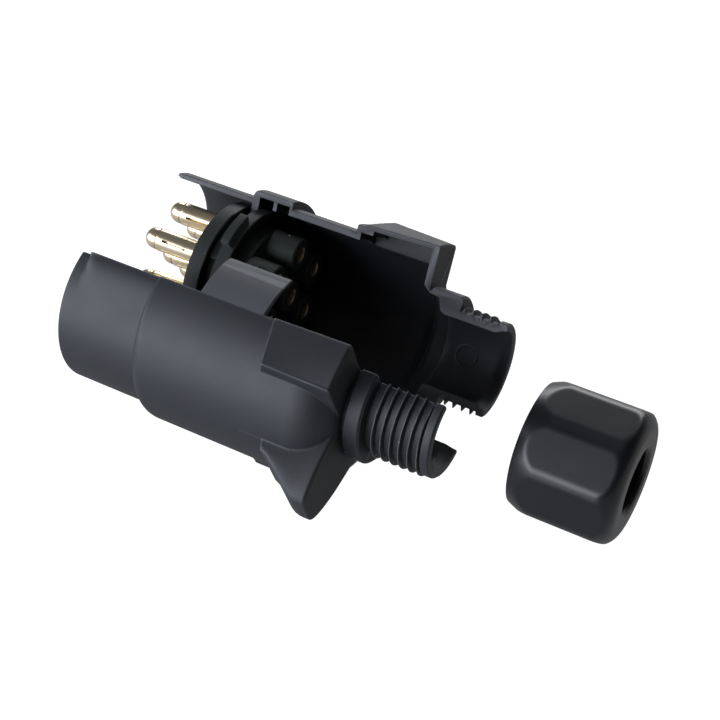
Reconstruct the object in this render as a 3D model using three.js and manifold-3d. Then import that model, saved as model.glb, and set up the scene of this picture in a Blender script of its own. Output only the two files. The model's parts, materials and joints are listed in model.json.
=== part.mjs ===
// Seven-pole round trailer plug, opened for wiring: two housing halves that fold apart about a line
// under their parting faces, the pin carrier in the back half, and the cable gland lying at the tail.
// Millimetres, +Z up, +X from the pins towards the cable. Each half is drawn on its own axis, with
// the parting face on the plane y = 0, and is leaned over by its group.
import * as THREE from "three";
import { mergeVertices } from "three/addons/utils/BufferGeometryUtils.js";
import Module from "manifold-3d";

const wasm = await Module();
wasm.setup();

// Driving dimensions
const partingGap = 0.15; // each half stops this far short of the parting plane
const collar = { outer: 18.8, bore: 17.6, end: 20 }; // thin sleeve round the pins
const body = { outer: 20.9, bore: 17.6, frontRound: 3, domeStart: 58, end: 66.3, wall: 1.5 };
const groove = { start: 21.8, end: 29.6, bore: 19.5, lip: 15.4 }; // holds the carrier's rear plate
const rib = { start: 25.5, end: 26.4, bore: 17.5 };
const block = {
  start: 47.7, end: 66.3, lowerEnd: 58, halfWidth: 10.4, frontHeight: 21.6, rearHeight: 22.3, wall: 1.6,
};
const wing = { start: 49, tipStart: 62.5, end: 66.3, reach: 27.8, base: 12, halfThickness: 6.6 };
const tongue = { start: 30.7, end: 45.8, inner: 19.5, tipInner: 20.4, outer: 20.9, angle: 31, swing: 44.9 };
const recess = { start: 30.2, end: 46.6, floor: 19.2, angle: 38 };
const key = { start: 2.5, angle: 18, outer: 20.3 }; // raised strip on the front half's collar
const neck = { outer: 13.2, bore: 11.3, boreEnd: 69, backEnd: 74.2, frontEnd: 70.6 };
const thread = { crest: 11.2, root: 10.1, pitch: 2.1, end: 84.6 };
const tail = { end: 85.3, bore: 8.2, boreStart: 70.2, mouth: 9.2 };
const carrier = {
  front: 15.9, shoulder: 19.7, rimRadius: 16.7, waistRadius: 15.0, plateStart: 22.1, plateEnd: 25.2,
  plateRadius: 16.9, towerEnd: 28, towerRadius: 13.6, lugRadius: 19.2, lugHalfAngle: 13,
};
const pin = { ring: 10, radius: 2.6, tip: 0.2, slotEnd: 11.5, slotWidth: 0.7, clearance: 0.3 };
const barrel = { radius: 3.0, start: 28.3, end: 34.5, bore: 1.9, boreDepth: 5 };
const screw = { x: 31.2, radius: 1.25, inner: 2.0, height: 2.4, slot: 0.5 };
const nut = { outer: 15.2, length: 23.6, bore: 11.6, hole: 7.0, wall: 4.0, flatDepth: 0.75, ringLength: 5, turn: 3 };
const seal = { offset: 0.5, length: 5.2, outer: 10.8, bore: 4.5 };
const washer = { offset: 18.0, length: 1.2, outer: 10.9, bore: 6.0 };
const openLean = 23.2; // each half leans this many degrees away from upright
const pivotDrop = 26.5; // from a half's axis down to the folding line
const nutMouth = { x: 97.6, y: 4.25 }; // where the loose gland nut's mouth lies, y from the folding line

const radians = THREE.MathUtils.degToRad;
const axisHeight = block.rearHeight * Math.cos(radians(openLean)) + block.halfWidth * Math.sin(radians(openLean));
const foldHeight = axisHeight - pivotDrop * Math.cos(radians(openLean));
const centreX = (nutMouth.x + nut.length) / 2;
const roundSteps = 48;

const blackShell = new THREE.MeshStandardMaterial({ color: 0x3a3e46, roughness: 0.62, metalness: 0 });
const blackInsert = new THREE.MeshStandardMaterial({ color: 0x1d2122, roughness: 0.5, metalness: 0 });
const glossNut = new THREE.MeshStandardMaterial({ color: 0x16181a, roughness: 0.38, metalness: 0 });
const paleBrass = new THREE.MeshStandardMaterial({ color: 0xd8c19a, roughness: 0.28, metalness: 1 });
const platedSteel = new THREE.MeshStandardMaterial({ color: 0xa9adb0, roughness: 0.35, metalness: 1 });
const sealRubber = new THREE.MeshStandardMaterial({ color: 0x17181a, roughness: 0.85, metalness: 0 });

// A closed three.js geometry as a solid. A profile drawn the other way round is turned to face out.
function solidOf(geometry) {
  geometry.deleteAttribute("normal");
  geometry.deleteAttribute("uv");
  const merged = mergeVertices(geometry, 1e-4);
  const triVerts = new Uint32Array(merged.index.array);
  const vertProperties = merged.attributes.position.array;
  const made = new wasm.Manifold(new wasm.Mesh({ numProp: 3, vertProperties, triVerts }));
  if (made.volume() > 0) return made;
  for (let i = 0; i < triVerts.length; i += 3)
    [triVerts[i + 1], triVerts[i + 2]] = [triVerts[i + 2], triVerts[i + 1]];
  return new wasm.Manifold(new wasm.Mesh({ numProp: 3, vertProperties, triVerts }));
}

function meshOf(solid, name, material) {
  const { vertProperties, triVerts } = solid.getMesh();
  const geometry = new THREE.BufferGeometry()
    .setAttribute("position", new THREE.BufferAttribute(new Float32Array(vertProperties), 3))
    .setIndex(new THREE.BufferAttribute(new Uint32Array(triVerts), 1));
  geometry.computeVertexNormals();
  const mesh = new THREE.Mesh(geometry, material);
  mesh.name = name;
  return mesh;
}

// Turns a profile of [x, radius] points about the X axis.
function turned(profile, steps = roundSteps) {
  const points = profile.map(([x, r]) => new THREE.Vector2(r, x));
  return solidOf(new THREE.LatheGeometry(points, steps).rotateZ(-Math.PI / 2));
}

const solidRod = (x0, x1, r, steps) => turned([[x0, 0], [x0, r], [x1, r], [x1, 0]], steps);

const tube = (x0, x1, inner, outer) =>
  turned([[x0, inner], [x0, outer], [x1, outer], [x1, inner], [x0, inner]]);

function box(x0, x1, y0, y1, z0, z1) {
  const geometry = new THREE.BoxGeometry(x1 - x0, y1 - y0, z1 - z0);
  return solidOf(geometry.translate((x0 + x1) / 2, (y0 + y1) / 2, (z0 + z1) / 2));
}

// Raises an outline of [a, b] points along +Z from z0 to z1.
function raised(outline, z0, z1) {
  const shape = new THREE.Shape(outline.map(([a, b]) => new THREE.Vector2(a, b)));
  return new THREE.ExtrudeGeometry(shape, { depth: z1 - z0, bevelEnabled: false }).translate(0, 0, z0);
}

// A curved wall about the X axis, from angle a0 to a1 in degrees, measured from +Z towards +Y.
// Its inside may start at another radius, so that the wall tapers towards a0.
function curvedWall(x0, x1, inner, outer, a0, a1, innerAtStart = inner) {
  const steps = 10;
  const ring = [];
  for (let i = 0; i <= steps; i++) ring.push([outer, a0 + ((a1 - a0) * i) / steps]);
  for (let i = steps; i >= 0; i--)
    ring.push([innerAtStart + ((inner - innerAtStart) * i) / steps, a0 + ((a1 - a0) * i) / steps]);
  const outline = ring.map(([r, a]) => [r * Math.cos(radians(a)), r * Math.sin(radians(a))]);
  // outline (a, b) = (z, y); raised along +Z, then turned so that its depth runs along +X
  const turn = new THREE.Matrix4().set(0, 0, 1, 0, 0, 1, 0, 0, 1, 0, 0, 0, 0, 0, 0, 1);
  return solidOf(raised(outline, x0, x1).applyMatrix4(turn));
}

const mirrored = (solid, side) => (side > 0 ? solid : solid.mirror([0, 1, 0]));

// The finger block at one parting edge: flat outer face rising to the rear, square rear wall. The
// lower edge has a shorter one, which the half lies on.
function fingerBlock(inset, floorHeight, end = block.end) {
  const side = block.halfWidth - inset;
  const outline = [
    [block.start + inset, floorHeight], [end - inset, floorHeight],
    [end - inset, block.rearHeight - inset], [block.start + 1 + inset, block.frontHeight - inset],
    [block.start + inset, block.frontHeight - 0.8 - inset],
  ];
  return solidOf(raised(outline, -side, side).rotateX(Math.PI / 2)); // the outline's b runs along +Z
}

// The finger grip on the belly of a half: a ramp that ends in a square rear face.
function fingerWing() {
  const ramp = new THREE.QuadraticBezierCurve(
    new THREE.Vector2(wing.start, body.outer - 1.5),
    new THREE.Vector2(57.5, body.outer + 0.8),
    new THREE.Vector2(wing.tipStart, wing.reach),
  ).getPoints(6);
  const outline = ramp.map((p) => [p.x, p.y]);
  outline.push([wing.end, wing.reach], [wing.end, wing.base], [wing.start, wing.base]);
  return solidOf(raised(outline, -wing.halfThickness, wing.halfThickness));
}

function outerForm(neckEnd) {
  const profile = [[0, 0], [0, collar.outer], [collar.end, collar.outer]];
  for (let i = 0; i <= 3; i++) {
    const a = radians(30 * i);
    profile.push([
      collar.end + 0.2 + body.frontRound * (1 - Math.cos(a)),
      body.outer - (body.outer - collar.outer) * (1 - Math.sin(a)),
    ]);
  }
  for (let i = 0; i <= 5; i++) {
    const a = radians(90 - 15.5 * i);
    profile.push([
      body.domeStart + (body.end - body.domeStart) * Math.cos(a),
      neck.outer + (body.outer - neck.outer) * Math.sin(a),
    ]);
  }
  profile.push([body.end, neck.outer], [neckEnd - 0.8, neck.outer], [neckEnd, thread.root + 1]);
  const ridges = Math.floor((thread.end - neckEnd) / thread.pitch);
  for (let i = 0; i < ridges; i++) {
    const x = thread.end - (ridges - i) * thread.pitch;
    profile.push([x + 0.15, thread.root], [x + 0.8, thread.crest], [x + 1.25, thread.crest]);
    profile.push([x + 1.9, thread.root]);
  }
  profile.push([tail.end, thread.root], [tail.end, 0]);
  return turned(profile);
}

function cavity() {
  const bore = turned([
    [-1, 0], [-1, collar.bore], [collar.end, collar.bore], [collar.end, groove.lip],
    [groove.start, groove.lip + 0.4], [groove.start + 0.5, groove.bore], [rib.start - 0.6, groove.bore],
    [rib.start, rib.bore], [rib.end, rib.bore], [rib.end + 0.2, groove.bore], [groove.end, groove.bore],
    [groove.end, body.bore], [body.domeStart, body.bore], [body.end - body.wall - 2.6, body.bore - 2.4],
    [body.end - body.wall, neck.bore + 1.4], [body.end - body.wall, neck.bore], [neck.boreEnd, neck.bore],
    [tail.boreStart, tail.bore], [thread.end - 0.6, tail.bore], [tail.end, tail.mouth],
    [tail.end + 1, tail.mouth], [tail.end + 1, 0],
  ]);
  const lowerPocket = fingerBlock(block.wall, body.bore - 5, block.lowerEnd).mirror([0, 0, 1]);
  return bore.add(fingerBlock(block.wall, body.bore - 5)).add(lowerPocket);
}

// What the tongue's tip sweeps through as the halves fold, over the back half's recess.
function tongueSweep() {
  const swept = tube(recess.start, recess.end, tongue.swing, tongue.swing + 10).translate([0, 0, -pivotDrop]);
  return swept.intersect(box(recess.start, recess.end, -1, 12, 0, 40));
}

// One half of the housing, on the +Y side: back is +1, and the front half is its mirror image.
function housingHalf(side) {
  const isBack = side > 0;
  let form = outerForm(isBack ? neck.backEnd : neck.frontEnd);
  const lowerBlock = fingerBlock(0, 12, block.lowerEnd).mirror([0, 0, 1]);
  form = form.add(fingerBlock(0, 12)).add(lowerBlock).add(fingerWing());
  if (isBack) {
    form = form.subtract(curvedWall(recess.start, recess.end, recess.floor, 25, -5, recess.angle));
    form = form.subtract(tongueSweep());
  } else form = form.add(curvedWall(key.start, collar.end + 1, collar.bore + 0.5, key.outer, 0, key.angle));
  form = form.subtract(cavity());
  form = form.intersect(box(-5, 100, partingGap, 40, -40, 40));
  if (!isBack) {
    const root = 10; // degrees that the tongue's foot runs down inside the wall it grows from
    const { start, end, inner, outer, angle, tipInner } = tongue;
    form = form.add(curvedWall(start, end, inner, outer, -angle, root, tipInner));
  }
  return mirrored(form, side);
}

const pinPlaces = [[0, 0]];
for (let i = 0; i < 6; i++) {
  const a = radians(60 * i);
  pinPlaces.push([pin.ring * Math.sin(a), pin.ring * Math.cos(a)]);
}

function pinCarrier() {
  let form = turned([
    [carrier.front, 0], [carrier.front, carrier.rimRadius - 0.5], [carrier.front + 0.5, carrier.rimRadius],
    [carrier.shoulder, carrier.rimRadius], [carrier.shoulder, carrier.waistRadius],
    [carrier.plateStart, carrier.waistRadius], [carrier.plateStart, carrier.plateRadius],
    [carrier.plateEnd, carrier.plateRadius], [carrier.plateEnd, carrier.towerRadius],
    [carrier.towerEnd, carrier.towerRadius], [carrier.towerEnd, 0],
  ]);
  for (const middle of [40, 140, 220, 320]) {
    const from = middle - carrier.lugHalfAngle;
    const to = middle + carrier.lugHalfAngle;
    const { plateStart, plateEnd, lugRadius } = carrier;
    form = form.add(curvedWall(plateStart + 0.3, plateEnd - 0.7, 14, lugRadius, from, to));
  }
  const notch = box(carrier.front - 1, carrier.shoulder, -18, -15.2, -4, 0);
  form = form.subtract(notch);
  for (const [y, z] of pinPlaces) {
    const hole = solidRod(carrier.front - 1, carrier.towerEnd + 1, pin.radius + pin.clearance, 20);
    form = form.subtract(hole.translate([0, y, z]));
  }
  return form;
}

// Split pin with a domed tip, a groove behind it, and a terminal barrel bored for the wire.
function plugPin() {
  const dome = [];
  for (let i = 0; i <= 4; i++) {
    const a = radians(22.5 * i);
    dome.push([pin.tip + 1.6 * (1 - Math.cos(a)), (pin.radius - 0.15) * Math.sin(a)]);
  }
  let form = turned([
    ...dome, [pin.tip + 3.2, pin.radius - 0.15], [pin.tip + 3.5, pin.radius],
    [barrel.start, pin.radius], [barrel.start, barrel.radius], [barrel.end - 0.4, barrel.radius],
    [barrel.end, barrel.radius - 0.4], [barrel.end, barrel.bore],
    [barrel.end - barrel.boreDepth, barrel.bore], [barrel.end - barrel.boreDepth, 0],
  ], 20);
  const slit = pin.slotWidth / 2;
  form = form.subtract(box(pin.tip - 1, pin.slotEnd, -slit, slit, -4, 4));
  const hole = solidRod(barrel.bore - 0.5, barrel.radius + 1, screw.radius + 0.3, 16);
  return form.subtract(hole.rotate([0, -90, 0]).translate([screw.x, 0, 0]));
}

// Grub screw that stands radially in a terminal barrel, along +Z.
function terminalScrew() {
  const rod = solidRod(screw.inner, screw.inner + screw.height, screw.radius, 16).rotate([0, -90, 0]);
  const top = screw.inner + screw.height;
  const slit = screw.slot / 2;
  return rod.subtract(box(-3, 3, -slit, slit, top - 0.6, top + 1));
}

// Round cap nut: plain ring at the mouth, eight flats behind it, rounded end with a cable hole.
function glandNut() {
  const { outer, length, bore, hole, wall } = nut;
  const shoulder = [];
  for (let i = 0; i <= 4; i++) {
    const a = radians(22.5 * i);
    shoulder.push([length - 4 + 4 * Math.sin(a), outer - 4 + 4 * Math.cos(a)]);
  }
  let form = turned([
    [0, bore + 0.8], [0, outer - 1.4], [1.4, outer], ...shoulder, [length, hole + 1],
    [length - 1, hole], [length - wall, hole], [length - wall, bore], [0.8, bore], [0, bore + 0.8],
  ], 64);
  for (let i = 0; i < 8; i++) {
    const flat = outer - nut.flatDepth;
    const cut = box(nut.ringLength, length + 1, -20, 20, flat, outer + 5);
    form = form.subtract(cut.rotate([45 * i + nut.turn, 0, 0]));
  }
  return form;
}

const connector = new THREE.Group();

// Folding line under the halves, on the middle plane between them.
const foldLine = new THREE.Group();
foldLine.position.set(-centreX, 0, foldHeight);
connector.add(foldLine);

function leaningHalf(side) {
  const lean = new THREE.Group();
  lean.rotation.x = radians(-side * openLean);
  const onAxis = new THREE.Group();
  onAxis.position.z = pivotDrop;
  lean.add(onAxis);
  foldLine.add(lean);
  return onAxis;
}

const backHalf = leaningHalf(1);
backHalf.add(meshOf(housingHalf(1), "back_shell", blackShell));
backHalf.add(meshOf(pinCarrier(), "pin_carrier", blackInsert));
pinPlaces.forEach(([y, z], i) => {
  const place = new THREE.Group();
  place.position.set(0, y, z);
  // the slot of each outer pin and its screw face outwards; the middle pin's screw faces a gap
  place.rotation.x = i === 0 ? radians(30) : -Math.atan2(y, z);
  place.add(meshOf(plugPin(), `pin_${i + 1}`, paleBrass));
  const grub = meshOf(terminalScrew(), `terminal_screw_${i + 1}`, platedSteel);
  grub.position.x = screw.x;
  place.add(grub);
  backHalf.add(place);
});

leaningHalf(-1).add(meshOf(housingHalf(-1), "front_shell", blackShell));

const gland = new THREE.Group();
gland.position.set(nutMouth.x - centreX, nutMouth.y, nut.outer);
connector.add(gland);
gland.add(meshOf(glandNut(), "gland_nut", glossNut));
const ringOf = ({ offset, length, bore, outer }) => tube(offset, offset + length, bore, outer);
gland.add(meshOf(ringOf(seal), "cable_seal", sealRubber));
gland.add(meshOf(ringOf(washer), "slip_washer", blackInsert));

export default connector;
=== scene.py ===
import json
import math

import bpy
import numpy as np
from mathutils import Matrix, Vector


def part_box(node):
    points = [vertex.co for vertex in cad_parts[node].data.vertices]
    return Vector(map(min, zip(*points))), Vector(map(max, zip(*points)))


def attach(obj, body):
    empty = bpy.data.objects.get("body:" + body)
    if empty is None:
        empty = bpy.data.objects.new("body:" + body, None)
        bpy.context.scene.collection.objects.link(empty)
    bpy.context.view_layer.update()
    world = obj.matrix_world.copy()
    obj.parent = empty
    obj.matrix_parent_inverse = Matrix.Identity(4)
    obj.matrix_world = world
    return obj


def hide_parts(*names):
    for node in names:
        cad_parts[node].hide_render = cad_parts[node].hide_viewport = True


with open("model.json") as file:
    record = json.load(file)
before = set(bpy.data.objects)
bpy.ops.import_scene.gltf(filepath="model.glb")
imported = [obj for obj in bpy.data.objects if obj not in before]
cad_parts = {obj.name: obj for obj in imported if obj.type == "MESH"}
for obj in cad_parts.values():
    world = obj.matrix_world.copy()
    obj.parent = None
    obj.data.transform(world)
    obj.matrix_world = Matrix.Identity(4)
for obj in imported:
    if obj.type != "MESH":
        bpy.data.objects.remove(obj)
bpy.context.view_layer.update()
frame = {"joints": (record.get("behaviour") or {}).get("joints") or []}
foldJoint = next(j for j in frame["joints"] if j["name"] == "cover_fold")

# All piece sizes below are millimetres. A half is drawn on its own axis: x from the collar's rim to the
# cable end, y out towards the belly, z up the parting face. Angles run from z towards y.
half = {
    "lean": math.radians(foldJoint["range_deg"][1] / 2),  # each half leans back by half of the fold
    "axisDrop": 26.5,  # from the axis down to the folding line
    "foldHeight": foldJoint["pos_m"][2] * 1000,
    "rimX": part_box("back_shell")[0].x * 1000,
    "gap": 0.15,  # from the parting plane to the cut face
}


def ontoHalf(points, side):  # turns a half's own millimetres into the model's metres
    lean = half["lean"]
    x, y, z = points[..., 0], points[..., 1], points[..., 2] + half["axisDrop"]
    across = math.cos(lean) * y + math.sin(lean) * z
    up = math.cos(lean) * z - math.sin(lean) * y + half["foldHeight"]
    return np.stack([x + half["rimX"], side * across, up], -1) * 0.001


def spread(start, end, pace):  # evenly spaced stations, both ends included
    return np.linspace(start, end, max(2, int(round(abs(end - start) / pace)) + 1))


def soften(x, low, high):  # 0 below low, 1 above high, an S curve between
    t = np.clip((x - low) / (high - low), 0, 1)
    return t * t * (3 - 2 * t)


def roundMin(a, b, blend):  # the lesser of two surfaces, rounded over where they meet
    share = np.clip(0.5 + 0.5 * (b - a) / blend, 0, 1)
    return b * (1 - share) + a * share - blend * share * (1 - share)


def roundMax(a, b, blend):
    return -roundMin(-a, -b, blend)


def quarterRound(t):  # rises from 0 to 1 as a quarter of a circle does
    return np.sqrt(1 - (1 - np.clip(t, 0, 1)) ** 2)


def gridSurface(points, wrapRows=False, wrapCols=False, capRows=False, capCols=False):
    # a closed skin over a grid of points: quads between neighbours, and one flat face over each open end
    rows, cols = points.shape[:2]
    index = np.arange(rows * cols).reshape(rows, cols)
    lastRow, lastCol = rows - (not wrapRows), cols - (not wrapCols)
    corner = [index, np.roll(index, -1, 1), np.roll(np.roll(index, -1, 0), -1, 1), np.roll(index, -1, 0)]
    quads = np.stack([c[:lastRow, :lastCol] for c in corner], -1).reshape(-1, 4)
    faces = quads.tolist()
    if capRows:
        faces += [index[0][::-1].tolist(), index[-1].tolist()]
    if capCols:
        faces += [index[:, 0].tolist(), index[:, -1][::-1].tolist()]
    flat = points.reshape(-1, 3)
    a, b, c, d = (flat[quads[:, i]] for i in range(4))
    volume = np.einsum("ij,ij->", a, np.cross(b, c)) + np.einsum("ij,ij->", a, np.cross(c, d))
    for ring in faces[len(quads):]:
        p = flat[ring]
        volume += np.einsum("ij,ij->", np.broadcast_to(p[0], p[1:-1].shape), np.cross(p[1:-1], p[2:]))
    if volume < 0:
        faces = [f[::-1] for f in faces]
    return flat, faces


def makePiece(name, surfaces, material, body, cadNode, sharpAngle=33):
    verts, faces, offset = [], [], 0
    for flat, ring in surfaces:
        verts.append(flat)
        faces += [[i + offset for i in f] for f in ring]
        offset += len(flat)
    mesh = bpy.data.meshes.new(name)
    mesh.from_pydata(np.concatenate(verts).tolist(), [], faces)
    mesh.polygons.foreach_set("use_smooth", [len(f) == 4 for f in faces])  # the flat end faces stay flat
    mesh.set_sharp_from_angle(angle=math.radians(sharpAngle))
    mesh.materials.append(material)
    piece = bpy.data.objects.new(name, mesh)
    bpy.context.scene.collection.objects.link(piece)
    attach(piece, body)
    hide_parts(cadNode)
    return piece


def turned(profile, angles):  # turns (x, radius) rows about the x axis, at the given angles in radians
    x, r = np.asarray(profile, float).T[:, :, None]
    return np.stack([x + 0 * angles, r * np.sin(angles), r * np.cos(angles)], -1)


fullTurn = np.radians(np.arange(0, 360, 5.0))


def newGroup(name, inputs, outputs):
    group = bpy.data.node_groups.new(name, "ShaderNodeTree")
    for label, value in inputs.items():
        socket = group.interface.new_socket(name=label, in_out="INPUT", socket_type="NodeSocketFloat")
        socket.default_value = value
    for label, kind in outputs.items():
        group.interface.new_socket(name=label, in_out="OUTPUT", socket_type=kind)
    return group, group.nodes.new("NodeGroupInput"), group.nodes.new("NodeGroupOutput")


def addNode(tree, kind, settings=None, **values):
    node = tree.nodes.new(kind)
    for key, value in (settings or {}).items():
        setattr(node, key, value)
    for key, value in values.items():
        node.inputs[key].default_value = value
    return node


def buildGrain():
    # moulded texture: fine noise for the bump, broad noise for patches of tone and gloss
    group, start, end = newGroup(
        "mouldGrain",
        {"Scale": 2600, "Patches": 90, "Depth": 0.4},
        {"Normal": "NodeSocketVector", "Patch": "NodeSocketFloat"},
    )
    place = addNode(group, "ShaderNodeTexCoord")
    fine = addNode(group, "ShaderNodeTexNoise", Detail=3.0, Roughness=0.6)
    broad = addNode(group, "ShaderNodeTexNoise", Detail=4.0, Roughness=0.55)
    bump = addNode(group, "ShaderNodeBump", Distance=0.0001)
    link = group.links.new
    link(place.outputs["Object"], fine.inputs["Vector"])
    link(place.outputs["Object"], broad.inputs["Vector"])
    link(start.outputs["Scale"], fine.inputs["Scale"])
    link(start.outputs["Patches"], broad.inputs["Scale"])
    link(start.outputs["Depth"], bump.inputs["Strength"])
    link(fine.outputs["Fac"], bump.inputs["Height"])
    link(bump.outputs["Normal"], end.inputs["Normal"])
    link(broad.outputs["Fac"], end.inputs["Patch"])
    return group


def buildEdgeHighlight():
    # painted highlight: a mask of the convex edges, read from pointiness, where the base colour is
    # lightened
    group, start, end = newGroup("paintedEdgeHighlight", {"From": 0.53, "To": 0.6}, {"Mask": "NodeSocketFloat"})
    shape = addNode(group, "ShaderNodeNewGeometry")
    mask = addNode(group, "ShaderNodeMapRange")
    link = group.links.new
    link(shape.outputs["Pointiness"], mask.inputs["Value"])
    link(start.outputs["From"], mask.inputs["From Min"])
    link(start.outputs["To"], mask.inputs["From Max"])
    link(mask.outputs["Result"], end.inputs["Mask"])
    return group


grainGroup = buildGrain()
edgeHighlightGroup = buildEdgeHighlight()


def useGroup(tree, group, **values):
    node = tree.nodes.new("ShaderNodeGroup")
    node.node_tree = group
    for key, value in values.items():
        node.inputs[key].default_value = value
    return node


def blendColours(tree, factor, first, second):
    mix = addNode(tree, "ShaderNodeMix", {"data_type": "RGBA"})
    mix.inputs["A"].default_value = (*first, 1)
    mix.inputs["B"].default_value = (*second, 1)
    tree.links.new(factor, mix.inputs["Factor"])
    return mix


def plastic(name, look):
    # base colour shifts between two tones in patches, convex edges are lighter as a painted highlight,
    # roughness follows the patches
    material = bpy.data.materials.new(name)
    material.use_nodes = True
    tree = material.node_tree
    link = tree.links.new
    shader = tree.nodes["Principled BSDF"]
    shader.inputs["IOR"].default_value = look["ior"]
    grain = useGroup(tree, grainGroup, Scale=look["grain"], Patches=look["patches"], Depth=look["depth"])
    # the edge mask lightens the base colour towards the edge colour: a painted highlight along convex edges
    edges = useGroup(tree, edgeHighlightGroup, From=0.52, To=0.62)
    tone = blendColours(tree, grain.outputs["Patch"], look["dark"], look["light"])
    highlighted = addNode(tree, "ShaderNodeMix", {"data_type": "RGBA"})
    highlighted.inputs["B"].default_value = (*look["edge"], 1)
    highlightStrength = addNode(tree, "ShaderNodeMath", {"operation": "MULTIPLY"})
    highlightStrength.inputs[1].default_value = look["highlightAmount"]
    link(edges.outputs["Mask"], highlightStrength.inputs[0])
    link(highlightStrength.outputs["Value"], highlighted.inputs["Factor"])
    link(tone.outputs["Result"], highlighted.inputs["A"])
    link(highlighted.outputs["Result"], shader.inputs["Base Color"])
    rough = addNode(tree, "ShaderNodeMapRange", **{"To Min": look["rough"][0], "To Max": look["rough"][1]})
    link(grain.outputs["Patch"], rough.inputs["Value"])
    link(rough.outputs["Result"], shader.inputs["Roughness"])
    link(grain.outputs["Normal"], shader.inputs["Normal"])
    return material


def metal(name, look):
    # turned metal: fine rings along the pin's length, tarnish in soft patches
    material = bpy.data.materials.new(name)
    material.use_nodes = True
    tree = material.node_tree
    link = tree.links.new
    shader = tree.nodes["Principled BSDF"]
    shader.inputs["Metallic"].default_value = look["metal"]
    place = addNode(tree, "ShaderNodeTexCoord")
    squeeze = addNode(tree, "ShaderNodeMapping")
    squeeze.inputs["Scale"].default_value = (look["rings"], 60, 60)
    rings = addNode(tree, "ShaderNodeTexNoise", Scale=1.0, Detail=2.0)
    grain = useGroup(tree, grainGroup, Scale=look["grain"], Patches=look["patches"], Depth=0.1)
    tone = blendColours(tree, grain.outputs["Patch"], look["dark"], look["light"])
    tarnish = addNode(tree, "ShaderNodeMapRange", **{"From Min": 0.4, "From Max": 0.7})
    tarnish.inputs["To Max"].default_value = look["tarnish"]
    dull = addNode(tree, "ShaderNodeMix", {"data_type": "RGBA"})
    dull.inputs["B"].default_value = (*look["stain"], 1)
    rough = addNode(tree, "ShaderNodeMapRange", **{"To Min": look["rough"][0], "To Max": look["rough"][1]})
    bump = addNode(tree, "ShaderNodeBump", Strength=look["cut"], Distance=0.00004)
    link(place.outputs["Object"], squeeze.inputs["Vector"])
    link(squeeze.outputs["Vector"], rings.inputs["Vector"])
    link(rings.outputs["Fac"], tarnish.inputs["Value"])
    link(tarnish.outputs["Result"], dull.inputs["Factor"])
    link(tone.outputs["Result"], dull.inputs["A"])
    link(dull.outputs["Result"], shader.inputs["Base Color"])
    link(grain.outputs["Patch"], rough.inputs["Value"])
    link(rough.outputs["Result"], shader.inputs["Roughness"])
    link(rings.outputs["Fac"], bump.inputs["Height"])
    link(grain.outputs["Normal"], bump.inputs["Normal"])
    link(bump.outputs["Normal"], shader.inputs["Normal"])
    return material


# in each plastic the edge colour, mixed in by the given amount, is a painted highlight along convex edges
shellPlastic = plastic("shellPlastic", {
    "dark": (0.010, 0.0115, 0.0155), "light": (0.015, 0.0175, 0.0235), "edge": (0.18, 0.19, 0.21),
    "highlightAmount": 0.8, "rough": (0.54, 0.66), "ior": 1.55, "grain": 3200, "patches": 120, "depth": 0.35,
})
insertPlastic = plastic("insertPlastic", {
    "dark": (0.004, 0.005, 0.005), "light": (0.007, 0.009, 0.009), "edge": (0.09, 0.1, 0.095),
    "highlightAmount": 0.7, "rough": (0.5, 0.62), "ior": 1.3, "grain": 1800, "patches": 160, "depth": 0.12,
})
nutPlastic = plastic("nutPlastic", {
    "dark": (0.005, 0.006, 0.008), "light": (0.008, 0.009, 0.013), "edge": (0.03, 0.033, 0.04),
    "highlightAmount": 0.2, "rough": (0.3, 0.37), "ior": 1.5, "grain": 2600, "patches": 110, "depth": 0.1,
})
washerPlastic = plastic("washerPlastic", {
    "dark": (0.03, 0.031, 0.033), "light": (0.045, 0.046, 0.05), "edge": (0.1, 0.1, 0.11),
    "highlightAmount": 0.5, "rough": (0.4, 0.5), "ior": 1.46, "grain": 2400, "patches": 140, "depth": 0.15,
})
sealRubber = plastic("sealRubber", {
    "dark": (0.018, 0.018, 0.02), "light": (0.03, 0.03, 0.032), "edge": (0.07, 0.07, 0.07),
    "highlightAmount": 0.4, "rough": (0.72, 0.85), "ior": 1.48, "grain": 3800, "patches": 200, "depth": 0.5,
})
pinBrass = metal("pinBrass", {
    "dark": (0.76, 0.62, 0.41), "light": (0.90, 0.80, 0.60), "stain": (0.58, 0.44, 0.27), "tarnish": 0.25,
    "rough": (0.24, 0.34), "rings": 5200, "grain": 900, "patches": 200, "cut": 0.2, "metal": 0.9,
})
screwSteel = metal("screwSteel", {
    "dark": (0.16, 0.16, 0.165), "light": (0.26, 0.26, 0.26), "stain": (0.1, 0.095, 0.09), "tarnish": 0.5,
    "rough": (0.25, 0.4), "rings": 6000, "grain": 900, "patches": 300, "cut": 0.4, "metal": 1.0,
})
print("materials ready")


shell = {
    "collar": 18.8, "bodyStart": 20.0, "body": 20.9, "domeStart": 57.6, "rear": 66.3, "domeFoot": 13.3,
    "waist": 12.3, "neck": 13.2, "neckStart": 67.3, "end": 85.3, "endRing": 10.8, "edgeBevel": 0.14,
    "rimRound": 0.4, "rimLength": 0.6, "shoulder": 1.2, "stripEnd": 20.4, "rearRound": 0.6, "wall": 1.6,
}
block = {
    "front": 47.5, "halfWidth": 10.4, "frontHeight": 21.5, "rearHeight": 22.3, "crown": 1.4, "edge": 0.6,
    "lowerEnd": 58.0, "apexLean": 0.24, "rampFoot": 17.7, "rampSlope": 3.9, "rampBlend": 0.3, "buried": 5.0,
}
pocket = {  # the hollow inside a finger block, with a lower roof over its first step
    "start": 47.75, "step": 50.65, "halfWidth": 8.8, "roof": 1.15, "stepDrop": 1.0, "stepRadius": 19.6,
    "shorter": 1.5,
}
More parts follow.
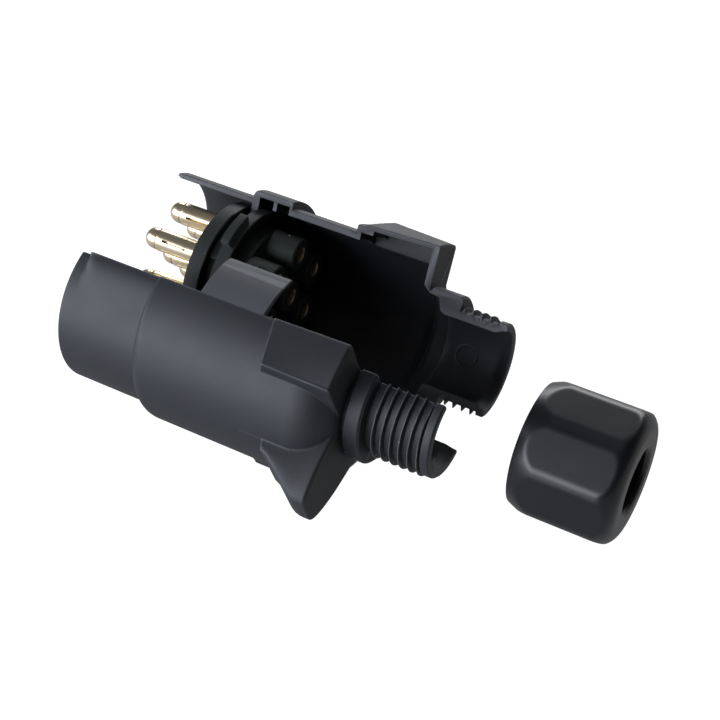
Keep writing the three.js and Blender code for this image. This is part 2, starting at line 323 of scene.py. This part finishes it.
wing = {
    "front": 52.5, "tip": 64.3, "lip": 1.9, "reach": 28.1, "round": 11.5,
    "upper": 9.3, "upperSlant": 0.118, "lower": 11.9, "lowerSlant": 0.15,
}
thread = {
    "crest": 11.2, "root": 10.05, "pitch": 2.05, "last": 83.2, "runIn": 0.7, "fade": 82.9, "faded": 83.3,
    "end": 83.4,
}
recess = {"start": 30.2, "end": 46.6, "floor": 19.2, "angle": 38}
keyStrip = {"start": 2.5, "height": 20.35, "full": 2, "gone": 34, "ramp": 0.4, "fan": 6}
inside = {
    "bore": 17.65, "lip": 15.4, "lipStart": 20.1, "lipEnd": 21.8, "groove": 19.5, "grooveEnd": 29.6,
    "rib": 17.5, "ribStart": 25.5, "ribEnd": 26.4, "rearWall": 64.8, "tailBore": 8.2,
    "tailProfile": [(64.8, 13.0), (66.4, 11.7), (68.8, 11.3), (69.9, 8.6), (70.9, 8.2), (82.9, 8.2),
                    (84.6, 9.1), (85.3, 9.2)],
}
mark = {"x": 75.6, "angle": 100, "radius": 2.4, "width": 0.28, "height": 0.16}  # plain moulded ring
neckEnds = {1: 74.2, -1: 70.6}

quarter = np.concatenate([
    np.arange(0, 24, 1.5), np.arange(24, 33, 0.45), np.arange(33, 68, 0.9), np.arange(68, 80, 0.5),
    np.arange(80, 90, 1.2),
])
shellAngles = np.radians(np.concatenate([quarter, [90], 180 - quarter[::-1]]))


def boxForm(x, angle, heightDrop, side, ramped):
    # a box on the polar grid: crowned top, upright sides, and a ramped front that slants back
    fromEdge = np.minimum(angle, math.pi - angle)
    tilt = np.minimum(fromEdge, 1.0)
    share = (x - block["front"]) / (shell["rear"] - block["front"])
    top = block["frontHeight"] + (block["rearHeight"] - block["frontHeight"]) * share - heightDrop
    offset = np.minimum(top * np.tan(tilt), side)
    crown = np.where(angle > math.pi / 2, 0, block["crown"] * share)  # the side it lies on is flat
    top = top - crown * (offset / block["halfWidth"]) ** 2
    if ramped:
        ramp = block["rampFoot"] + (x - block["front"] - block["apexLean"] * offset) * block["rampSlope"]
        top = roundMin(top, ramp, block["rampBlend"])
    upright = side / np.maximum(np.sin(fromEdge), 0.05)
    return roundMin(top / np.cos(tilt), upright, block["edge"])


def fingerBlock(x, angle):  # the lower block, which the half lies on, is shorter
    form = boxForm(x, angle, 0.0, block["halfWidth"], True)
    return np.where((angle > math.pi / 2) & (x > block["lowerEnd"]), block["buried"], form)


def blockPocket(x, angle):
    drop = pocket["roof"] + pocket["stepDrop"] * (x < pocket["step"])
    form = boxForm(x, angle, drop, pocket["halfWidth"], False)
    gone = (angle > math.pi / 2) & (x > block["lowerEnd"] - pocket["shorter"])
    form = np.where(gone, block["buried"], form)
    return np.where(x < pocket["step"], np.minimum(form, pocket["stepRadius"]), form)


def fingerWing(x, angle):
    # two slanting flats that meet a rounded tip, its reach growing along x in an S curve
    sine, cosine = np.sin(angle), np.cos(angle)
    upper = wing["upper"] / np.maximum(cosine + wing["upperSlant"] * sine, 0.05)
    lower = wing["lower"] / np.maximum(-cosine + wing["lowerSlant"] * sine, 0.05)
    lipRise = wing["lip"] * soften(x, wing["front"], wing["front"] + 1.1)
    grow = soften(x, wing["front"], wing["tip"])
    base = shell["body"] - 1.0
    reach = base + lipRise + (wing["reach"] - base - wing["lip"]) * grow
    flats = roundMin(upper, lower, 0.5)
    return roundMin(flats, reach / np.maximum(sine, 0.5), wing["round"] * (0.1 + 0.9 * grow ** 2))


def threadHeight(x, angle, side, start):
    # one helix over both halves: narrow rounded crests, with a plain root between
    turn = side * angle / (2 * math.pi)
    phase = (x - thread["last"]) / thread["pitch"] - turn
    fromCrest = np.abs(phase - np.round(phase))
    ridge = 1 - soften(fromCrest, 0.04, 0.2)
    fade = soften(x, start, start + thread["runIn"]) * (1 - soften(x, thread["fade"], thread["faded"]))
    return thread["root"] + (thread["crest"] - thread["root"]) * ridge * fade


def outerRadius(x, angle, side):
    # collar with a rounded rim, quarter-round shoulder up to the body, elliptical dome, then what is added
    edgeAngle = np.minimum(angle, math.pi - angle)
    r = shell["collar"] - shell["rimRound"] * (1 - quarterRound(x / shell["rimLength"]))
    if side < 0:
        strip = (1 - soften(np.degrees(edgeAngle), keyStrip["full"], keyStrip["gone"])) ** 1.5
        rampEnd = keyStrip["start"] + keyStrip["ramp"] + keyStrip["fan"] * edgeAngle
        r = r + (keyStrip["height"] - shell["collar"]) * strip * soften(x, keyStrip["start"], rampEnd)
    shoulder = shell["shoulder"] + 2.0 * soften(edgeAngle, 0.2, 1.0)
    step = shell["body"] - shell["collar"]
    body = shell["body"] - step * (1 - quarterRound((x - shell["bodyStart"]) / shoulder))
    r = np.where(x > shell["bodyStart"], np.maximum(body, np.where(x < shell["stripEnd"], r, 0)), r)
    fall = np.clip((x - shell["domeStart"]) / (shell["rear"] - shell["domeStart"]), 0, 1)
    dome = shell["domeFoot"] + (shell["body"] - shell["domeFoot"]) * np.sqrt(1 - fall ** 2)
    r = np.where(x > shell["domeStart"], dome, r)
    if side > 0:
        inRecess = (x > recess["start"]) & (x < recess["end"])
        below = 1 - soften(np.degrees(edgeAngle), recess["angle"] - 0.5, recess["angle"] + 0.1)
        below = np.where(angle < math.pi / 2, below, 0)
        r = np.where(inRecess, r + (recess["floor"] - shell["body"]) * below, r)
    grips = np.maximum(fingerBlock(x, angle), fingerWing(x, angle))
    r = np.where(x > block["front"] - 0.1, roundMax(r, grips, 0.35), r)
    over = np.clip(x - (shell["rear"] - shell["rearRound"]), 0, shell["rearRound"])
    return r - (shell["rearRound"] - np.sqrt(shell["rearRound"] ** 2 - over ** 2))


def neckRadius(x, angle, side):
    # a plain neck ring up to its own end, then the thread, then the tail's end ring
    end = neckEnds[side]
    ring = shell["waist"] + (shell["neck"] - shell["waist"]) * soften(x, 66.6, shell["neckStart"])
    ring = ring - 0.5 * soften(x, end - 0.5, end)
    tail = threadHeight(x, angle, side, end + 0.3)
    endRing = shell["endRing"] - 0.35 * soften(x, shell["end"] - 0.4, shell["end"])
    tail = np.where(x > thread["end"], endRing, tail)
    return np.where(x < end + 0.01, ring, tail)


def innerRadius(x, angle):
    # the bore, closing in behind the dome, with block pockets, carrier groove, rib and a slanting lip
    fall = np.clip((x + shell["wall"] - shell["domeStart"]) / (shell["rear"] - shell["domeStart"]), 0, 0.98)
    dome = shell["domeFoot"] + (shell["body"] - shell["domeFoot"]) * np.sqrt(1 - fall ** 2)
    r = np.minimum(inside["bore"], dome - shell["wall"])
    r = np.where(x > pocket["start"], roundMax(r, blockPocket(x, angle), 0.2), r)
    r = np.where(x < inside["grooveEnd"], inside["groove"], r)
    onRib = (x > inside["ribStart"]) & (x < inside["ribEnd"])
    r = np.where(onRib, inside["rib"], r)
    slant = inside["lip"] + 0.4 * soften(x, inside["lipStart"], inside["lipEnd"])
    r = np.where(x < inside["lipEnd"], slant, r)
    r = np.where(x < inside["lipStart"], inside["bore"], r)
    return r + 0.35 * (1 - soften(x, 0, 0.8))


def tailBore(x, angle):
    # the bore steps in behind the neck and opens again at its mouth, with the raised ring on its wall
    places, radii = zip(*inside["tailProfile"])
    r = np.interp(x, places, radii)
    fromMark = np.hypot(x - mark["x"], inside["tailBore"] * (angle - math.radians(mark["angle"])))
    raised = mark["height"] * (1 - soften(np.abs(fromMark - mark["radius"]), 0.05, mark["width"]))
    return r - raised


def bothSides(x, apart=0.04):  # a pair of stations close to a sharp step
    return [x - apart, x + apart]


def outerStations():
    return np.unique(np.concatenate([
        spread(0, 0.6, 0.15), spread(0.6, 2.5, 0.9), spread(2.5, 2.8, 0.1), spread(3.5, 19.5, 1.6),
        bothSides(shell["bodyStart"]), spread(20.1, 23.4, 0.22), spread(24, 30, 1.5),
        bothSides(recess["start"]), spread(31, 46, 1.5), bothSides(recess["end"]),
        spread(46.9, 52.2, 0.2), spread(52.2, 54, 0.16), spread(54.3, 65, 0.36),
        spread(65.2, 65.7, 0.16), spread(65.8, 66.3, 0.08),
    ]))


def neckStations(side):
    end = neckEnds[side]
    return np.unique(np.concatenate([
        spread(66.32, 67.3, 0.16), spread(67.5, end - 0.6, 0.6), spread(end - 0.5, end, 0.1), [end + 0.02],
        spread(end + 0.1, 83.3, 0.13), [83.42], spread(83.6, 84.8, 0.6), spread(84.9, shell["end"], 0.1),
    ]))


def boreStations():
    return np.concatenate([
        [85.3, 84.6, 83.6], spread(82.9, 78.4, 0.9), spread(78.2, 73, 0.16), [72, 70.9, 70.4, 69.9, 69.3],
        [68.8, 67.6, 66.4, 65.6, 64.84],
    ])


def innerStations():
    return np.concatenate([
        [inside["rearWall"] - 0.02], spread(64.6, 58, 0.3), spread(57.5, 51, 0.9),
        [50.68, 50.62, 49.5, 48.5, 47.77, 47.73], spread(46, 30, 2), [29.62, 29.58], spread(29, 27, 1),
        [26.42, 26.38, 25.52, 25.48, 24, 22.5, 21.82, 21.78, 21, 20.12, 20.08], spread(19, 1.5, 1.75),
        [0.8, 0.6, 0.4, 0.2, 0.0],
    ])


def housingHalf(side):
    # a closed profile, out along the outside and back along the inside, carried round half a turn
    angles = shellAngles[None, :]
    front = outerStations()[:, None]
    skin = [(front + 0 * angles, outerRadius(front, angles, side))]
    lastRing = skin[0][1][-1:]
    neck = neckStations(side)[:, None]
    neckRing = neckRadius(neck, angles, side)
    for share in (0.15, 0.35, 0.6, 0.85):  # rows down the rear wall
        skin.append((np.full_like(lastRing, shell["rear"]), lastRing + (neckRing[:1] - lastRing) * share))
    skin.append((neck + 0 * angles, neckRing))
    bore = boreStations()[:, None]
    skin.append((bore + 0 * angles, tailBore(bore, angles)))
    inner = innerStations()[:, None]
    innerRing = innerRadius(inner, angles)
    lastRing = tailBore(bore[-1:], angles)
    wallX = np.full_like(lastRing, inside["rearWall"])
    for share in (0.3, 0.65):  # rows up the inside of the rear wall
        skin.append((wallX, lastRing + (innerRing[:1] - lastRing) * share))
    skin.append((inner + 0 * angles, innerRing))
    x = np.concatenate([s[0] for s in skin])
    r = np.concatenate([s[1] for s in skin])
    bevel = shell["edgeBevel"]
    outerRows = sum(len(s[0]) for s in skin[:6])
    inset = np.where(np.arange(len(x)) < outerRows, -bevel, bevel)
    y = half["gap"] + bevel + (r - half["gap"] - bevel) * np.sin(angles)
    points = np.stack([x, y, r * np.cos(angles)], -1)
    cutFace = np.full(len(x), half["gap"])
    upper = np.stack([x[:, 0], cutFace, r[:, 0] + inset], -1)
    lower = np.stack([x[:, -1], cutFace, -r[:, -1] - inset], -1)
    points = np.concatenate([upper[:, None], points, lower[:, None]], 1)  # the cut face's bevelled rims
    return gridSurface(ontoHalf(points, side), wrapRows=True, capCols=True)


tongue = {
    "start": 30.7, "end": 45.8, "inner": 19.5, "tipInner": 20.2, "outer": 20.86, "angle": 31, "root": 8,
    "bevel": 0.12, "tipShrink": (0.985, 0.8286),
}


def lapTongue():
    # a curved plate that laps past the parting edge: a bevelled box section carried round an arc,
    # its inner corners moving outwards towards the tip, where the last section is a bevel smaller
    start, end, inner, outer, b = (tongue[key] for key in ("start", "end", "inner", "outer", "bevel"))
    section = np.array([
        (start + b, outer), (end - b, outer), (end, outer - b), (end, inner + b), (end - b, inner),
        (start + b, inner), (start, inner + b), (start, outer - b),
    ])
    degrees = np.concatenate([[-tongue["angle"]], spread(-tongue["angle"] + 0.35, tongue["root"], 1.5)])
    angles = np.radians(degrees)
    towardsTip = 1 - soften(degrees, -tongue["angle"], 0)
    thin = 1 + (tongue["tipInner"] / inner - 1) * towardsTip
    rings = turned(section, angles)
    rings[3:7, :, 1:] *= thin[None, :, None]
    section[3:7, 1] *= thin[0]
    middle = np.array([(start + end) / 2, (inner + outer) / 2])
    rings[:, 0] = turned(middle + (section - middle) * tongue["tipShrink"], angles[:1])[:, 0]
    return gridSurface(ontoHalf(rings, -1), wrapRows=True, capCols=True)


makePiece("backShell", [housingHalf(1)], shellPlastic, "back_half", "back_shell")
makePiece("frontShell", [housingHalf(-1), lapTongue()], shellPlastic, "front_half",
          "front_shell")
print("housing halves made")


carrier = {
    "front": 15.9, "shoulder": 19.7, "rim": 16.7, "waist": 15.0, "plateStart": 22.1, "plateEnd": 25.2,
    "plate": 16.9, "towerEnd": 28.0, "tower": 13.6, "lug": 19.2, "lugHalf": 13, "sleeveEnd": 34.9,
    "lugAngles": (40, 140, 220, 320), "lipAngles": ((-64, -22), (30, 62), (120, 150)),
}
pin = {
    "ring": 10, "radius": 2.6, "tip": 0.2, "dome": 2.5, "neckLine": 3.6, "slotStart": 5.6, "slotEnd": 11.5,
    "slotHalf": 0.26, "hole": 0.42, "slotDepth": 1.3, "barrelStart": 28.3, "barrelEnd": 34.5,
    "barrel": 3.0, "bore": 1.9, "boreDepth": 5,
}
ringAngles = np.radians(np.arange(0, 360, 60))  # six pins round one in the middle
pinPlaces = [(0.0, 0.0)] + [(pin["ring"] * math.sin(a), pin["ring"] * math.cos(a)) for a in ringAngles]


def curvedPlate(x0, x1, inner, outer, from_, to, bevel=0.15):
    # a bevelled box section carried round an arc, angles in degrees
    section = [
        (x0 + bevel, outer), (x1 - bevel, outer), (x1, outer - bevel), (x1, inner), (x0, inner),
        (x0, outer - bevel),
    ]
    return turned(section, np.radians(spread(from_, to, 2.0)))


def carrierSkins():
    # turned body with a dished front face, four lugs in the housing's groove, a raised strip with lips,
    # and round each pin a low boss in front and a sleeve that closes over the terminal behind
    front, shoulder, rim, waist = (carrier[key] for key in ("front", "shoulder", "rim", "waist"))
    plateStart, plateEnd, plate = (carrier[key] for key in ("plateStart", "plateEnd", "plate"))
    towerEnd, tower, end = (carrier[key] for key in ("towerEnd", "tower", "sleeveEnd"))
    profile = [
        (front + 0.6, 0.3), (front + 0.6, 13.6), (front + 0.5, 14.2), (front, 14.4), (front, 16.2),
        (front + 0.15, 16.55), (front + 0.5, rim), (shoulder - 0.2, rim), (shoulder, rim - 0.2),
        (shoulder, waist + 0.1), (shoulder + 0.1, waist), (plateStart, waist), (plateStart, plate - 0.2),
        (plateStart + 0.2, plate), (plateEnd - 0.2, plate), (plateEnd, plate - 0.2),
        (plateEnd, tower + 0.2), (plateEnd + 0.2, tower), (towerEnd - 0.3, tower),
        (towerEnd, tower - 0.3), (towerEnd, 0.3),
    ]
    skins = [gridSurface(ontoHalf(turned(profile, fullTurn), 1), wrapCols=True, capRows=True)]
    reach = carrier["lugHalf"]
    plates = [
        curvedPlate(plateStart + 0.3, plateEnd - 0.7, 14, carrier["lug"], middle - reach, middle + reach)
        for middle in carrier["lugAngles"]
    ]
    plates.append(curvedPlate(shoulder - 0.05, 21.6, 14.6, 15.3, *carrier["lipAngles"][0], 0.1))
    plates += [curvedPlate(18.9, 19.65, 16.4, 17.05, *limits, 0.12) for limits in carrier["lipAngles"]]
    skins += [gridSurface(ontoHalf(p, 1), wrapRows=True, capCols=True) for p in plates]
    boss = [(16.6, 2.7), (15.95, 2.7), (15.85, 2.85), (15.85, 3.2), (16.0, 3.35), (16.6, 3.5)]
    sleeve = [
        (27.8, 3.06), (end - 0.3, 3.06), (end - 0.3, 2.15), (end - 0.15, 2.0), (end, 2.1), (end, 3.3),
        (end - 0.3, 3.7), (27.8, 3.85),
    ]
    for y, z in pinPlaces:
        for ring in (boss, sleeve):
            points = turned(ring, fullTurn[::2]) + [0, y, z]
            skins.append(gridSurface(ontoHalf(points, 1), wrapRows=True, wrapCols=True))
    return skins


makePiece("pinCarrier", carrierSkins(), insertPlastic, "back_half", "pin_carrier")


nearSlot = np.array([-13, -10, -8, -6.2, -5.2, -3, 0, 3, 5.2, 6.2, 8, 10, 13])  # degrees, finer there
pinAngles = np.unique(np.concatenate([np.arange(0, 360, 9.0), nearSlot % 360, nearSlot + 180]))


def pinProfile():
    # elliptical dome, a turned line, the shaft, then the terminal barrel with its blind bore
    radius, barrel, bore = (pin[key] for key in ("radius", "barrel", "bore"))
    start, end = pin["barrelStart"], pin["barrelEnd"]
    a = np.radians(np.linspace(8, 90, 10))
    dome = np.stack([pin["tip"] + pin["dome"] * (1 - np.cos(a)), (radius - 0.13) * np.sin(a)], -1)
    line = pin["tip"] + pin["neckLine"]
    groove = [
        (line - 0.25, radius - 0.13), (line - 0.12, radius - 0.28), (line, radius - 0.28),
        (line + 0.08, radius - 0.06), (line + 0.25, radius),
    ]
    rows = np.concatenate([
        [4.8], bothSides(pin["slotStart"], 0.05), spread(6.5, 10.5, 1.0), spread(10.9, 12.1, 0.1),
        [13, 16, 20, 24, start - 0.02],
    ])
    terminal = [
        (start, barrel - 0.15), (start + 0.15, barrel), (30, barrel), (32.4, barrel), (end - 0.3, barrel),
        (end, barrel - 0.3), (end, bore + 0.2), (end - 0.25, bore), (end - pin["boreDepth"], bore),
        (end - pin["boreDepth"] - 0.6, 0.25),
    ]
    return np.concatenate([dome, groove, np.stack([rows, np.full(len(rows), radius)], -1), terminal])


def plugPin(y, z, slotAngle):
    # the profile turned about the pin's axis, sunk where the slot and its end hole are
    profile = pinProfile()
    angles = np.radians(pinAngles)[None, :]
    x, r = profile[:, :1], profile[:, 1:]
    aside = np.abs(pin["radius"] * np.sin(angles))
    inSlot = (x > pin["slotStart"]) & (x < pin["slotEnd"]) & (aside < pin["slotHalf"])
    inHole = np.hypot(x - pin["slotEnd"], aside) < pin["hole"]
    r = r - np.where(inSlot | inHole, pin["slotDepth"], 0)
    turn = angles + slotAngle
    points = np.stack([x + 0 * turn, y + r * np.sin(turn), z + r * np.cos(turn)], -1)
    return gridSurface(ontoHalf(points, 1), wrapCols=True, capRows=True)


screw = {"x": 31.2, "radius": 1.25, "low": 2.0, "high": 3.95, "slot": 0.5, "depth": 0.6}


def grubScrew(y, z, direction):
    # chords of a disc, each a loop over the top and back under, with the driver slot as sunk chords
    radius = screw["radius"]
    edge = screw["slot"] / 2 / radius
    across = np.concatenate([[-0.995], np.linspace(-0.95, -edge - 0.12, 7), [-edge - 0.01, -edge + 0.01]])
    across = np.concatenate([across, [0], -across[::-1]])[None, :]
    along = np.linspace(-1, 1, 9)[:, None]
    chord = np.sqrt(1 - across ** 2)
    topHeight = screw["high"] - np.where(np.abs(across) < edge, screw["depth"], 0)
    u = radius * np.concatenate([across + 0 * along, across + 0 * along])
    v = radius * np.concatenate([along * chord, along[::-1] * chord])
    w = np.concatenate([topHeight + 0 * along, screw["low"] + 0 * across * along])
    sine, cosine = math.sin(direction), math.cos(direction)
    points = np.stack([screw["x"] + u, y + w * sine + v * cosine, z + w * cosine - v * sine], -1)
    return gridSurface(ontoHalf(points, 1), wrapRows=True, capCols=True)


for i, (y, z) in enumerate(pinPlaces):
    outward = math.radians(30) if i == 0 else math.atan2(y, z)
    turnedSlot = outward + (math.radians(90) if i in (0, 1) else -0.3)
    plug, clamp = [plugPin(y, z, turnedSlot)], [grubScrew(y, z, outward)]
    number = i + 1
    makePiece(f"plugPin{number}", plug, pinBrass, "back_half", f"pin_{number}")
    makePiece(f"terminalScrew{number}", clamp, screwSteel, "back_half",
              f"terminal_screw_{number}")
print("carrier, pins and screws made")


nutLow, nutHigh = (v * 1000 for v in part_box("gland_nut"))
gland = {"mouth": nutLow.x, "y": (nutLow.y + nutHigh.y) / 2, "z": (nutLow.z + nutHigh.z) / 2}
nut = {
    "outer": 15.2, "length": 23.6, "bore": 11.6, "hole": 7.0, "wall": 4.0, "flat": 14.45, "flats": 8,
    "coneEnd": 5.4, "coneDrop": 1.8, "turn": math.radians(3), "shoulder": 4.3, "threadDepth": 0.28,
    "pitch": 2.05, "edge": 0.24,
}


def ontoGland(points):
    return (points + [gland["mouth"], gland["y"], gland["z"]]) * 0.001


def glandNut():
    # a rounded cap: its radius is the lesser of the flats and a turned profile with a cone at its mouth;
    # inside, a lip goes round the cable hole and the bore is threaded
    length, outer, bore, hole = (nut[key] for key in ("length", "outer", "bore", "hole"))
    bend, coneEnd, floor = nut["shoulder"], nut["coneEnd"], length - nut["wall"]
    angles = np.radians(np.arange(0, 360, 1.25))[None, :]
    a = np.radians(np.linspace(0, 90, 15))
    rear = np.stack([length - bend + bend * np.sin(a), outer - bend + bend * np.cos(a)], -1)
    cone = spread(0.3, coneEnd, 0.16)
    taper = np.stack([cone, outer - nut["coneDrop"] * (1 - cone / coneEnd) ** 1.4], -1)
    side = [(x, outer) for x in spread(coneEnd + 0.4, 19, 0.9)]
    skin = np.concatenate([[(0, bore + 1.0)], taper, side, rear])
    apart = 2 * math.pi / nut["flats"]
    fromFlat = np.mod(angles + nut["turn"] + apart / 2, apart) - apart / 2
    skinRadius = roundMin(skin[:, 1:], nut["flat"] / np.cos(fromFlat), nut["edge"])
    lip = [
        (length, hole + 1.0), (length - 0.3, hole + 0.35), (length - 0.9, hole), (floor + 0.2, hole),
        (floor, hole + 0.2), (floor, bore - 0.2),
    ]
    boreX = np.concatenate([spread(floor - 0.1, 1.0, 0.16), [0.6, 0.2]])
    boreWall = np.stack([boreX, np.full(len(boreX), bore)], -1)
    inner = np.concatenate([lip, boreWall, [(0.0, bore + 0.9)]])
    x, r = inner[:, :1], inner[:, 1:]
    phase = x / nut["pitch"] + angles / (2 * math.pi)
    ridge = 1 - soften(np.abs(phase - np.round(phase)), 0.1, 0.32)
    inThread = soften(x, 1.2, 1.8) * (1 - soften(x, 14.5, 15.2)) * (r > bore - 0.01)
    innerRadii = r - nut["threadDepth"] * ridge * inThread
    x = np.concatenate([skin[:, :1], x]) + 0 * angles
    r = np.concatenate([skinRadius, innerRadii])
    points = np.stack([x, r * np.sin(angles), r * np.cos(angles)], -1)
    return gridSurface(ontoGland(points), wrapRows=True, wrapCols=True)


seal = {"start": 0.5, "end": 5.7, "outer": 10.8, "bore": 4.5, "ribs": 3, "wave": 0.28}
washer = {"start": 18.0, "end": 19.2, "outer": 10.9, "bore": 6.0, "edge": 0.25}


def cableSeal():
    # a grommet with a waved outside and bore, so that it grips the cable in rings
    start, end, outer, bore = (seal[key] for key in ("start", "end", "outer", "bore"))
    t = np.linspace(0, 1, 31)
    wave = seal["wave"] * (0.5 - 0.5 * np.cos(2 * math.pi * seal["ribs"] * t))
    x = start + 0.2 + (end - start - 0.4) * t
    outside = np.stack([x, outer - seal["wave"] + wave], -1)
    back = np.stack([x[::-1], bore + seal["wave"] - wave], -1)
    faceRear = [(end, outer - 0.6), (end, bore + 0.6)]
    faceFront = [(start, bore + 0.6), (start, outer - 0.6)]
    profile = np.concatenate([outside, faceRear, back, faceFront])
    return gridSurface(ontoGland(turned(profile, fullTurn)), wrapRows=True, wrapCols=True)


def slipWasher():
    # a flat ring, its four edges bevelled
    start, end, outer, bore, e = (washer[key] for key in ("start", "end", "outer", "bore", "edge"))
    profile = [
        (start + e, outer), (end - e, outer), (end, outer - e), (end, bore + e),
        (end - e, bore), (start + e, bore), (start, bore + e), (start, outer - e),
    ]
    return gridSurface(ontoGland(turned(profile, fullTurn)), wrapRows=True, wrapCols=True)


makePiece("glandNut", [glandNut()], nutPlastic, "nut", "gland_nut", 24)
makePiece("cableSeal", [cableSeal()], sealRubber, "seal", "cable_seal")
makePiece("slipWasher", [slipWasher()], washerPlastic, "washer", "slip_washer")
print("gland made")


def pale(name, colour, glow, fill):
    # paper that looks evenly white, while it throws only a little light back onto the part
    material = bpy.data.materials.new(name)
    material.use_nodes = True
    tree = material.node_tree
    shader = tree.nodes["Principled BSDF"]
    shader.inputs["Base Color"].default_value = (*colour, 1)
    shader.inputs["Roughness"].default_value = 0.9
    shader.inputs["Emission Color"].default_value = (1, 1, 1, 1)
    path = addNode(tree, "ShaderNodeLightPath")
    strength = addNode(tree, "ShaderNodeMapRange", **{"To Min": fill, "To Max": glow})
    tree.links.new(path.outputs["Is Camera Ray"], strength.inputs["Value"])
    tree.links.new(strength.outputs["Result"], shader.inputs["Emission Strength"])
    return material


def layFloor(size=3.0):
    mesh = bpy.data.meshes.new("studioFloor")
    e = size / 2
    mesh.from_pydata([(-e, -e, 0), (e, -e, 0), (e, e, 0), (-e, e, 0)], [], [(0, 1, 2, 3)])
    mesh.materials.append(pale("floorPaper", (0.3, 0.3, 0.3), 0.95, 0.2))
    floor = bpy.data.objects.new("studioFloor", mesh)
    bpy.context.scene.collection.objects.link(floor)


def softLight(name, place, aim, size, watts, tint=(1, 1, 1)):
    light = bpy.data.lights.new(name, "AREA")
    light.shape = "RECTANGLE"
    light.size, light.size_y = size
    light.energy = watts
    light.color = tint
    lamp = bpy.data.objects.new(name, light)
    lamp.location = place
    lamp.rotation_euler = (Vector(aim) - Vector(place)).to_track_quat("-Z", "Y").to_euler()
    bpy.context.scene.collection.objects.link(lamp)


layFloor()
softLight("frontBank", (-0.42, -0.55, 0.21), (0, 0, 0.02), (1.1, 0.42), 9.5, (0.88, 0.91, 1.0))
softLight("overhead", (0.1, 0.1, 1.0), (0, 0, 0), (0.9, 0.9), 0.6)
softLight("backStrip", (-0.15, 0.75, 0.3), (0, 0, 0.03), (0.9, 0.35), 5.0, (0.96, 0.97, 1.0))

world = bpy.data.worlds.new("studioAir")
bpy.context.scene.world = world
world.use_nodes = True
backdrop = world.node_tree.nodes["Background"]
backdrop.inputs["Color"].default_value = (1, 1, 1, 1)
airPath = addNode(world.node_tree, "ShaderNodeLightPath")
airStrength = addNode(world.node_tree, "ShaderNodeMapRange", **{"To Min": 0.05, "To Max": 1.0})
world.node_tree.links.new(airPath.outputs["Is Camera Ray"], airStrength.inputs["Value"])
world.node_tree.links.new(airStrength.outputs["Result"], backdrop.inputs["Strength"])
bpy.context.scene.view_settings.view_transform = "Standard"

view = {"eye": (0.1073, -0.2114, 0.2236), "azimuth": -27.43, "elevation": 40.0, "roll": 2.36, "lens": 72.25}


def placeCamera():
    camera = bpy.data.cameras.new("studioCamera")
    camera.lens = view["lens"]
    camera.sensor_width = 36
    camera.clip_start = 0.01
    holder = bpy.data.objects.new("studioCamera", camera)
    turn = Matrix.Rotation(-math.radians(view["azimuth"]), 4, "Z")
    tilt = Matrix.Rotation(math.radians(90 - view["elevation"]), 4, "X")
    roll = Matrix.Rotation(math.radians(view["roll"]), 4, "Z")
    holder.matrix_world = Matrix.Translation(view["eye"]) @ turn @ tilt @ roll
    bpy.context.scene.collection.objects.link(holder)
    bpy.context.scene.camera = holder


placeCamera()
